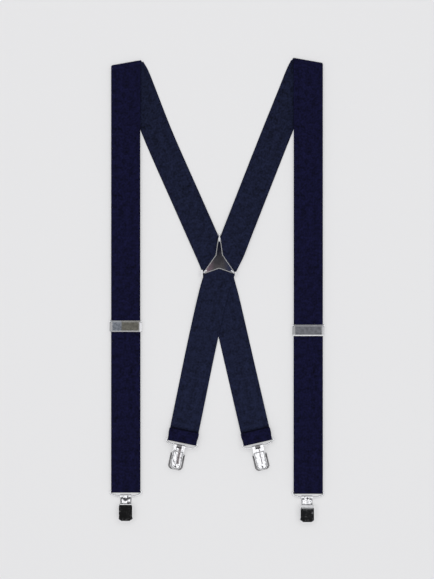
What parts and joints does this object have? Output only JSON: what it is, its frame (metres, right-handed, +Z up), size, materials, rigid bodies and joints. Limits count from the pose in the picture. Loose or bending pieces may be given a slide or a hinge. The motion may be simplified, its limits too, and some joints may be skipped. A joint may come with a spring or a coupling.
{
  "type": "clip-on suspenders",
  "caption": "Navy elastic clip-on dress suspenders with an X back, a metal crosspatch, lever adjusters and bulldog-style clips, laid flat.",
  "frame": {"origin": "middle of the bounding box's underside, on the surface the suspenders lie on", "axes": "+Z up off the table; +Y from the clips towards the shoulder folds; +X towards the right-hand front strap as seen from above"},
  "size_m": [0.2584, 0.5576, 0.0101],
  "materials": {
    "webbing": "ribbed elastic weave, outer face",
    "webbing_lining": "ribbed elastic weave, inner face",
    "chrome": "polished",
    "satin": "satin panel",
    "pad": "moulded grip"
  },
  "bodies": {
    "back_harness": {"back_strap_left": "webbing_lining", "back_strap_right": "webbing_lining", "back_loop_left": "webbing_lining", "back_loop_right": "webbing_lining", "shoulder_fold_left": "webbing", "shoulder_fold_right": "webbing", "crosspatch_plate": "chrome", "crosspatch_back_wire": "chrome"},
    "front_left": {"front_strap_left": "webbing", "front_strap_lower_left": "webbing"},
    "front_loop_left": {"front_loop_left": "webbing", "front_tail_left": "webbing"},
    "adjuster_left": {"adjuster_frame_left": "chrome", "adjuster_pin_left": "chrome", "front_tail_hem_left": "webbing"},
    "adjuster_lever_left": {"adjuster_lever_left": "satin"},
    "front_right": {"front_strap_right": "webbing", "front_strap_lower_right": "webbing"},
    "front_loop_right": {"front_loop_right": "webbing", "front_tail_right": "webbing"},
    "adjuster_right": {"adjuster_frame_right": "chrome", "adjuster_pin_right": "chrome", "front_tail_hem_right": "webbing"},
    "adjuster_lever_right": {"adjuster_lever_right": "satin"},
    "front_left_clip_ring": {"front_left_clip_ring": "chrome"},
    "front_left_clip_body": {"front_left_clip_back_jaw": "chrome", "front_left_clip_pivot_pin": "chrome", "front_left_clip_jaw_pad": "pad"},
    "front_left_clip_front_jaw": {"front_left_clip_front_jaw": "chrome"},
    "front_left_clip_lever": {"front_left_clip_lever": "chrome"},
    "front_right_clip_ring": {"front_right_clip_ring": "chrome"},
    "front_right_clip_body": {"front_right_clip_back_jaw": "chrome", "front_right_clip_pivot_pin": "chrome", "front_right_clip_jaw_pad": "pad"},
    "front_right_clip_front_jaw": {"front_right_clip_front_jaw": "chrome"},
    "front_right_clip_lever": {"front_right_clip_lever": "chrome"},
    "back_left_clip_ring": {"back_left_clip_ring": "chrome"},
    "back_left_clip_body": {"back_left_clip_back_jaw": "chrome", "back_left_clip_pivot_pin": "chrome", "back_left_clip_jaw_pad": "pad"},
    "back_left_clip_front_jaw": {"back_left_clip_front_jaw": "chrome"},
    "back_left_clip_lever": {"back_left_clip_lever": "chrome"},
    "back_right_clip_ring": {"back_right_clip_ring": "chrome"},
    "back_right_clip_body": {"back_right_clip_back_jaw": "chrome", "back_right_clip_pivot_pin": "chrome", "back_right_clip_jaw_pad": "pad"},
    "back_right_clip_front_jaw": {"back_right_clip_front_jaw": "chrome"},
    "back_right_clip_lever": {"back_right_clip_lever": "chrome"}
  },
  "joints": [
    {"name": "shoulder_left", "type": "hinge", "parent": "back_harness", "child": "front_left", "pos_m": [-0.1091, 0.2697, 0.00275], "axis": [-0.9848, -0.1736, 0], "range_deg": [0, 178], "deforming": ["shoulder_fold_left"]},
    {"name": "front_length_left", "type": "slide", "parent": "front_left", "child": "front_loop_left", "axis": [0, -1, 0], "range_m": [-0.1, 0.11], "deforming": ["front_strap_lower_left"]},
    {"name": "adjuster_travel_left", "type": "slide", "parent": "front_loop_left", "child": "adjuster_left", "axis": [0, -1, 0], "range_m": [-0.1, 0.11], "deforming": ["front_tail_left"]},
    {"name": "adjuster_latch_left", "type": "hinge", "parent": "adjuster_left", "child": "adjuster_lever_left", "pos_m": [-0.1091, -0.0381, 0.00655], "axis": [-1, 0, 0], "range_deg": [0, 100]},
    {"name": "shoulder_right", "type": "hinge", "parent": "back_harness", "child": "front_right", "pos_m": [0.1099, 0.2726, 0.00275], "axis": [-0.9848, 0.1736, 0], "range_deg": [0, 178], "deforming": ["shoulder_fold_right"]},
    {"name": "front_length_right", "type": "slide", "parent": "front_right", "child": "front_loop_right", "axis": [0, -1, 0], "range_m": [-0.1, 0.11], "deforming": ["front_strap_lower_right"]},
    {"name": "adjuster_travel_right", "type": "slide", "parent": "front_loop_right", "child": "adjuster_right", "axis": [0, -1, 0], "range_m": [-0.1, 0.11], "deforming": ["front_tail_right"]},
    {"name": "adjuster_latch_right", "type": "hinge", "parent": "adjuster_right", "child": "adjuster_lever_right", "pos_m": [0.1099, -0.0431, 0.00655], "axis": [-1, 0, 0], "range_deg": [0, 100]},
    {"name": "front_left_clip_ring_swing", "type": "hinge", "parent": "front_loop_left", "child": "front_left_clip_ring", "pos_m": [-0.1091, -0.24155, 0.0025], "axis": [1, 0, 0], "range_deg": [-80, 80]},
    {"name": "front_left_clip_swing", "type": "hinge", "parent": "front_left_clip_ring", "child": "front_left_clip_body", "pos_m": [-0.1091, -0.2482, 0.0025], "axis": [1, 0, 0], "range_deg": [-60, 80]},
    {"name": "front_left_clip_latch", "type": "hinge", "parent": "front_left_clip_body", "child": "front_left_clip_lever", "pos_m": [-0.1091, -0.2579, 0.00715], "axis": [-1, 0, 0], "range_deg": [0, 90]},
    {"name": "front_left_clip_jaw_open", "type": "hinge", "parent": "front_left_clip_body", "child": "front_left_clip_front_jaw", "pos_m": [-0.1091, -0.2482, 0.0025], "axis": [-1, 0, 0], "range_deg": [0, 5.4]},
    {"name": "front_right_clip_ring_swing", "type": "hinge", "parent": "front_loop_right", "child": "front_right_clip_ring", "pos_m": [0.1099, -0.24295, 0.0025], "axis": [1, 0, 0], "range_deg": [-80, 80]},
    {"name": "front_right_clip_swing", "type": "hinge", "parent": "front_right_clip_ring", "child": "front_right_clip_body", "pos_m": [0.1084, -0.2496, 0.0025], "axis": [1, 0, 0], "range_deg": [-60, 80]},
    {"name": "front_right_clip_latch", "type": "hinge", "parent": "front_right_clip_body", "child": "front_right_clip_lever", "pos_m": [0.1084, -0.2593, 0.00715], "axis": [-1, 0, 0], "range_deg": [0, 90]},
    {"name": "front_right_clip_jaw_open", "type": "hinge", "parent": "front_right_clip_body", "child": "front_right_clip_front_jaw", "pos_m": [0.1084, -0.2496, 0.0025], "axis": [-1, 0, 0], "range_deg": [0, 5.4]},
    {"name": "back_left_clip_ring_swing", "type": "hinge", "parent": "back_harness", "child": "back_left_clip_ring", "pos_m": [-0.04131, -0.1814, 0.00765], "axis": [-0.9799, 0.1994, 0], "range_deg": [-80, 80]},
    {"name": "back_left_clip_swing", "type": "hinge", "parent": "back_left_clip_ring", "child": "back_left_clip_body", "pos_m": [-0.0446, -0.18752, 0.00765], "axis": [-0.9799, 0.1994, 0], "range_deg": [-60, 80]},
    {"name": "back_left_clip_latch", "type": "hinge", "parent": "back_left_clip_body", "child": "back_left_clip_lever", "pos_m": [-0.04653, -0.19702, 0.003], "axis": [0.9799, -0.1994, 0], "range_deg": [0, 90]},
    {"name": "back_left_clip_jaw_open", "type": "hinge", "parent": "back_left_clip_body", "child": "back_left_clip_front_jaw", "pos_m": [-0.0446, -0.18752, 0.00765], "axis": [0.9799, -0.1994, 0], "range_deg": [0, 5.4]},
    {"name": "back_right_clip_ring_swing", "type": "hinge", "parent": "back_harness", "child": "back_right_clip_ring", "pos_m": [0.04905, -0.18141, 0.00765], "axis": [-0.9741, -0.226, 0], "range_deg": [-80, 80]},
    {"name": "back_right_clip_swing", "type": "hinge", "parent": "back_right_clip_ring", "child": "back_right_clip_body", "pos_m": [0.04909, -0.18823, 0.00765], "axis": [-0.9741, -0.226, 0], "range_deg": [-60, 80]},
    {"name": "back_right_clip_latch", "type": "hinge", "parent": "back_right_clip_body", "child": "back_right_clip_lever", "pos_m": [0.05128, -0.19768, 0.003], "axis": [0.9741, 0.226, 0], "range_deg": [0, 90]},
    {"name": "back_right_clip_jaw_open", "type": "hinge", "parent": "back_right_clip_body", "child": "back_right_clip_front_jaw", "pos_m": [0.04909, -0.18823, 0.00765], "axis": [0.9741, 0.226, 0], "range_deg": [0, 5.4]}
  ],
  "couplings": [
    {"joint": "adjuster_travel_left", "follows": "front_length_left", "ratio": 1},
    {"joint": "adjuster_travel_right", "follows": "front_length_right", "ratio": 1},
    {"joint": "front_left_clip_jaw_open", "follows": "front_left_clip_latch", "ratio": 0.06},
    {"joint": "front_right_clip_jaw_open", "follows": "front_right_clip_latch", "ratio": 0.06},
    {"joint": "back_left_clip_jaw_open", "follows": "back_left_clip_latch", "ratio": 0.06},
    {"joint": "back_right_clip_jaw_open", "follows": "back_right_clip_latch", "ratio": 0.06}
  ]
}
